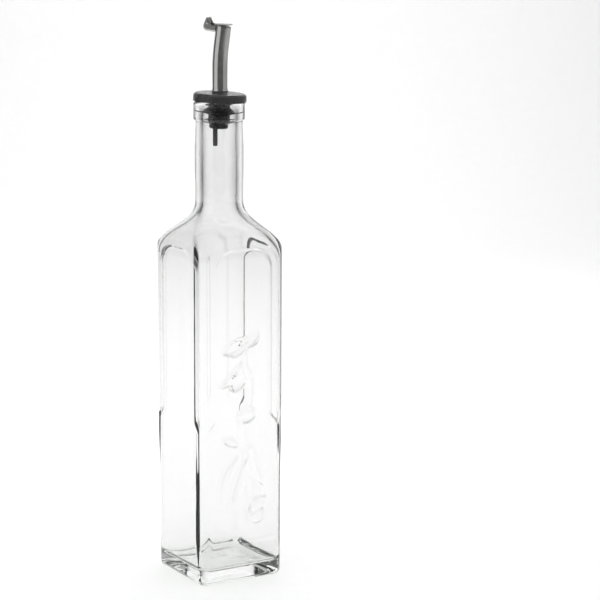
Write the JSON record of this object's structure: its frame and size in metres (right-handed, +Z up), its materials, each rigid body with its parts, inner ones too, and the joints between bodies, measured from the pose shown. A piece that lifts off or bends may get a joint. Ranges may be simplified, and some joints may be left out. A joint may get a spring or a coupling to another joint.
{
  "type": "olive oil bottle",
  "caption": "Tall square clear glass oil bottle with arched panels and a round neck, closed by a black stopper with a bent steel pouring spout and a hinged flip lid",
  "frame": {"origin": "centre of the square base, on the surface the bottle stands on", "axes": "+Z up along the bottle; +X and +Y each square to one of the four faces; the spout leans towards the body corner between +X and -Y"},
  "size_m": [0.061, 0.061, 0.3441],
  "materials": {
    "clear_glass": "clear, smooth, colourless moulded glass",
    "black_plastic": "black, softly glossy",
    "steel": "bright drawn stainless tube",
    "grey_plastic": "dark grey",
    "bracket_steel": "satin pressed sheet",
    "pin_steel": "satin, heads rounded",
    "lid_steel": "bright pressed sheet"
  },
  "bodies": {
    "bottle": {"bottle": "clear_glass", "stopper": "black_plastic", "spout": "steel", "vent_tube": "grey_plastic", "hinge_bracket": "bracket_steel", "hinge_pin": "pin_steel"},
    "lid": {"flap": "lid_steel"}
  },
  "joints": [
    {"name": "lid_hinge", "type": "hinge", "parent": "bottle", "child": "lid", "pos_m": [-0.00441, 0.00441, 0.34104], "axis": [-0.7071, -0.7071, 0], "range_deg": [0, 85]}
  ]
}
